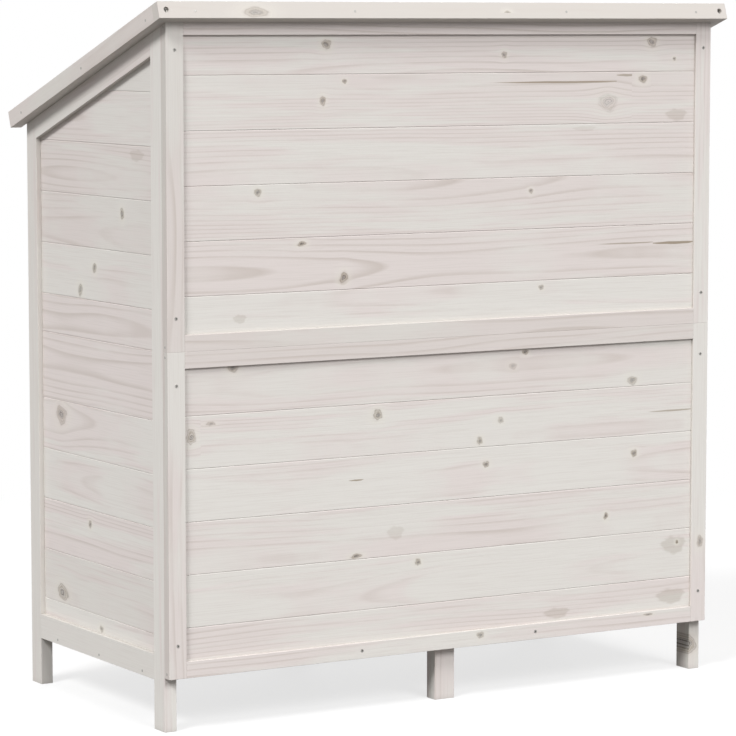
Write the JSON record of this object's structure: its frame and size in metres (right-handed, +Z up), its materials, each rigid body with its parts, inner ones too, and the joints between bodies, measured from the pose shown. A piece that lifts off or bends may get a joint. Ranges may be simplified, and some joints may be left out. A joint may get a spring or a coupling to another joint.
{
  "type": "garden shed",
  "caption": "Low garden tool shed of whitewashed boards: framed back panels, boarded sides, sloping roof, short legs, a floor, and two hinged doors held by a turn-button.",
  "frame": {"origin": "on the ground, under the middle of the roof's outline", "axes": "+X along the width to the right as one faces the doors, +Y from the doors to the tall back wall, +Z up"},
  "size_m": [1.0246, 0.5258, 1.086],
  "materials": {
    "whitewashed_fir": "thin white wash over planed fir, grain and knots showing, matt",
    "zinc_plated_steel": "bright zinc plate, satin",
    "roofing_felt": "dark grey mineral felt, rough"
  },
  "bodies": {
    "carcass": {"cross_floor_bearers": "whitewashed_fir", "door_stop": "whitewashed_fir", "floor_boards": "whitewashed_fir", "frame_nails": "zinc_plated_steel", "front_header": "whitewashed_fir", "front_left_post": "whitewashed_fir", "front_middle_leg": "whitewashed_fir", "front_right_post": "whitewashed_fir", "front_sill": "whitewashed_fir", "hinge_pins": "zinc_plated_steel", "hinge_post_leaves": "zinc_plated_steel", "hinge_post_screws": "zinc_plated_steel", "left_rake_board": "whitewashed_fir", "left_side_boards": "whitewashed_fir", "left_side_bottom_rail": "whitewashed_fir", "left_side_top_rail": "whitewashed_fir", "long_floor_bearers": "whitewashed_fir", "lower_rear_boards": "whitewashed_fir", "lower_rear_bottom_rail": "whitewashed_fir", "lower_rear_left_stile": "whitewashed_fir", "lower_rear_right_stile": "whitewashed_fir", "lower_rear_top_rail": "whitewashed_fir", "panel_screws": "zinc_plated_steel", "rear_fascia_board": "whitewashed_fir", "rear_left_post": "whitewashed_fir", "rear_middle_leg": "whitewashed_fir", "rear_right_post": "whitewashed_fir", "right_rake_board": "whitewashed_fir", "right_side_boards": "whitewashed_fir", "right_side_bottom_rail": "whitewashed_fir", "right_side_top_rail": "whitewashed_fir", "roof_deck_boards": "whitewashed_fir", "roof_felt": "roofing_felt", "roof_purlins": "whitewashed_fir", "upper_rear_boards": "whitewashed_fir", "upper_rear_bottom_rail": "whitewashed_fir", "upper_rear_left_stile": "whitewashed_fir", "upper_rear_right_stile": "whitewashed_fir", "upper_rear_top_rail": "whitewashed_fir"},
    "left_door": {"left_door_boards": "whitewashed_fir", "left_door_bottom_rail": "whitewashed_fir", "left_door_hinge_leaves": "zinc_plated_steel", "left_door_hinge_screws": "zinc_plated_steel", "left_door_hinge_stile": "whitewashed_fir", "left_door_knob": "whitewashed_fir", "left_door_meeting_stile": "whitewashed_fir", "left_door_middle_rail": "whitewashed_fir", "left_door_top_rail": "whitewashed_fir"},
    "right_door": {"right_door_boards": "whitewashed_fir", "right_door_bottom_rail": "whitewashed_fir", "right_door_hinge_leaves": "zinc_plated_steel", "right_door_hinge_screws": "zinc_plated_steel", "right_door_hinge_stile": "whitewashed_fir", "right_door_knob": "whitewashed_fir", "right_door_meeting_stile": "whitewashed_fir", "right_door_middle_rail": "whitewashed_fir", "right_door_top_rail": "whitewashed_fir", "latch_pivot": "zinc_plated_steel"},
    "turn_button": {"latch_button": "whitewashed_fir"}
  },
  "joints": [
    {"name": "left_door_hinge", "type": "hinge", "parent": "carcass", "child": "left_door", "pos_m": [-0.4715, -0.23805, 0.48], "axis": [0, 0, -1], "range_deg": [0, 170]},
    {"name": "right_door_hinge", "type": "hinge", "parent": "carcass", "child": "right_door", "pos_m": [0.4715, -0.23805, 0.48], "axis": [0, 0, 1], "range_deg": [0, 170]},
    {"name": "turn_button_pivot", "type": "hinge", "parent": "right_door", "child": "turn_button", "pos_m": [0.0215, -0.23465, 0.63983], "axis": [0, -1, 0], "range_deg": [-90, 90]}
  ]
}
